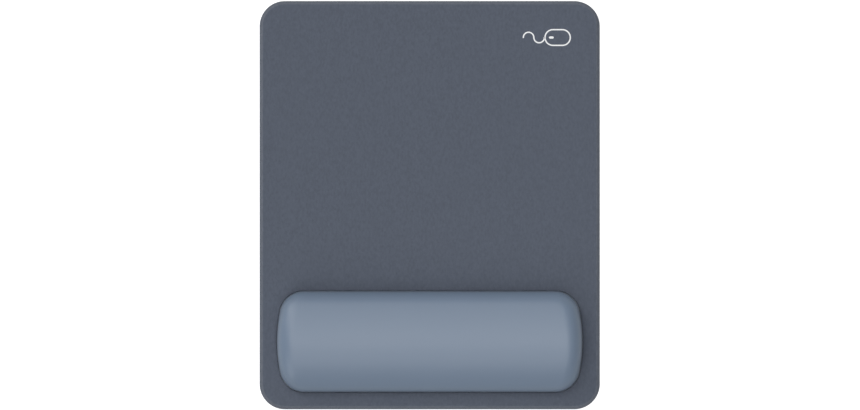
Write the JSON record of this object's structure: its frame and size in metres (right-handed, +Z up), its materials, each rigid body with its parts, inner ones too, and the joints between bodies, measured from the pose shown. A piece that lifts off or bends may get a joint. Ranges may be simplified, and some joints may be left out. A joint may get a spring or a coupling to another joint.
{
  "type": "mouse mat with wrist rest",
  "caption": "Flat rounded fabric mat on a rubber grip backing, with a low bow-ended satin foam wrist rest set into a window along its front edge.",
  "frame": {"origin": "centre of the underside, on the surface that the mat lies on", "axes": "+X to the user's right, +Y from the rest at the front towards the back of the mat, +Z up"},
  "size_m": [0.21, 0.252, 0.0254],
  "materials": {
    "backing_rubber": "matte black rubber with a fine moulded grip relief",
    "laminating_film": "thin milky hot-melt film",
    "mat_foam": "dark closed-cell foam, cut edge",
    "mat_fabric": "matte fine-knit polyester, heat-pressed at the rim",
    "white_ink": "matte white screen print",
    "adhesive_tape": "translucent double-sided tape",
    "plate_plastic": "moulded dark grey sheet",
    "firm_foam": "firm open-cell foam",
    "soft_foam": "soft memory foam",
    "rest_skin": "smooth satin blue-grey coated skin"
  },
  "bodies": {
    "root": {"grip_backing": "backing_rubber", "backing_film": "laminating_film", "foam_sheet": "mat_foam", "fabric_film": "laminating_film", "surface_fabric": "mat_fabric", "printed_mark": "white_ink", "rest_tape": "adhesive_tape", "base_plate": "plate_plastic", "support_foam": "firm_foam", "memory_foam": "soft_foam", "rest_cover": "rest_skin"}
  },
  "joints": []
}
